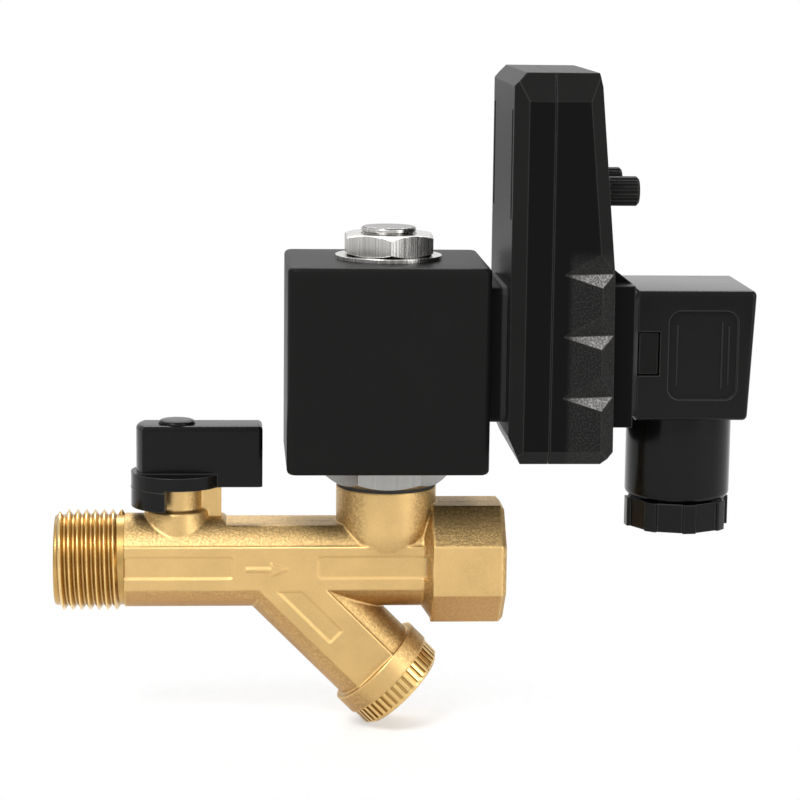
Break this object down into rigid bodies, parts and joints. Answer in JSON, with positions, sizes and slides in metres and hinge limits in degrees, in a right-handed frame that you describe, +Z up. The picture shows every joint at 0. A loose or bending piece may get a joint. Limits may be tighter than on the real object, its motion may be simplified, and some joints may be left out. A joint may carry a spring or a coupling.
{
  "type": "automatic drain valve",
  "caption": "Timer-controlled solenoid drain valve on a brass Y-strainer body with a quarter-turn ball valve, black coil, timer and plug, for draining condensate.",
  "frame": {"origin": "centre of the inlet thread's end face", "axes": "+X along the flow, from inlet to outlet; +Z up, along the solenoid; -Y is the front"},
  "size_m": [0.1429, 0.045, 0.1372],
  "materials": {
    "cast_brass": "satin cast",
    "chrome_ball": "polished",
    "white_seal": "matte",
    "turned_brass": "turned",
    "black_rubber": "matte",
    "black_gloss": "semi-gloss",
    "bright_steel": "bright",
    "satin_steel": "satin",
    "black_satin": "satin",
    "black_matte": "matte",
    "copper": "lacquered",
    "green_board": "satin",
    "lamp_clear": "clear"
  },
  "bodies": {
    "valve": {"valve_body": "cast_brass", "ball_seat_inlet": "white_seal", "ball_seat_outlet": "white_seal", "ball_retainer": "turned_brass", "tube_o_ring": "black_rubber", "armature_tube": "satin_steel", "fixed_core": "bright_steel"},
    "lever": {"handle": "black_gloss", "stem": "turned_brass", "stem_o_rings": "black_rubber", "ball": "chrome_ball", "handle_screw": "bright_steel", "handle_cap": "black_gloss"},
    "strainer": {"strainer_cap": "turned_brass", "strainer_screen": "bright_steel", "cap_gasket": "white_seal"},
    "armature": {"plunger": "bright_steel", "plunger_seal": "black_rubber", "plunger_spring": "bright_steel"},
    "coil_head": {"coil_housing": "black_satin", "coil_yoke": "satin_steel", "coil_bobbin": "black_matte", "coil_winding": "copper", "coil_tabs": "bright_steel", "coil_gasket": "black_rubber", "coil_washer": "bright_steel", "timer_rear_shell": "black_matte", "timer_front_shell": "black_matte", "timer_board": "green_board", "potentiometers": "black_matte", "button_switch": "black_matte", "indicator_lamps": "lamp_clear", "timer_sockets": "black_matte", "timer_tabs": "bright_steel", "plug_gasket": "black_rubber", "plug_housing": "black_gloss", "plug_contact_block": "black_satin", "plug_contacts": "turned_brass", "plug_screw": "bright_steel", "gland_seal": "black_rubber", "gland_washer": "black_matte"},
    "fixing_nut": {"coil_nut": "bright_steel"},
    "on_knob": {"knob_on": "black_matte"},
    "off_knob": {"knob_off": "black_matte"},
    "test_key": {"test_button": "black_satin"},
    "gland": {"gland_nut": "black_gloss"}
  },
  "joints": [
    {"name": "lever_turn", "type": "hinge", "parent": "valve", "child": "lever", "pos_m": [0.0252, 0, 0.016], "axis": [0, 0, 1], "range_deg": [0, 90]},
    {"name": "strainer_withdraw", "type": "slide", "parent": "valve", "child": "strainer", "axis": [0.7071, 0, -0.7071], "range_m": [0, 0.042]},
    {"name": "plunger_lift", "type": "slide", "parent": "valve", "child": "armature", "axis": [0, 0, 1], "range_m": [0, 0.0025], "stiffness_N_per_m": 300, "springref_m": -0.003, "deforming": ["plunger_spring"]},
    {"name": "coil_swivel", "type": "hinge", "parent": "valve", "child": "coil_head", "pos_m": [0.0687, 0, 0.04], "axis": [0, 0, 1], "range_deg": [-24, 24]},
    {"name": "coil_nut_turn", "type": "hinge", "parent": "valve", "child": "fixing_nut", "pos_m": [0.0687, 0, 0.066], "axis": [0, 0, 1], "range_deg": [0, 360]},
    {"name": "on_knob_turn", "type": "hinge", "parent": "coil_head", "child": "on_knob", "pos_m": [0.112, -0.012, 0.0785], "axis": [1, 0, 0], "range_deg": [-270, 0]},
    {"name": "off_knob_turn", "type": "hinge", "parent": "coil_head", "child": "off_knob", "pos_m": [0.112, 0.012, 0.0785], "axis": [1, 0, 0], "range_deg": [-270, 0]},
    {"name": "test_button_press", "type": "slide", "parent": "coil_head", "child": "test_key", "axis": [-1, 0, 0], "range_m": [0, 0.001], "stiffness_N_per_m": 400, "springref_m": -0.001},
    {"name": "gland_nut_turn", "type": "hinge", "parent": "coil_head", "child": "gland", "pos_m": [0.1299, 0, 0.0105], "axis": [0, 0, 1], "range_deg": [0, 360]}
  ]
}
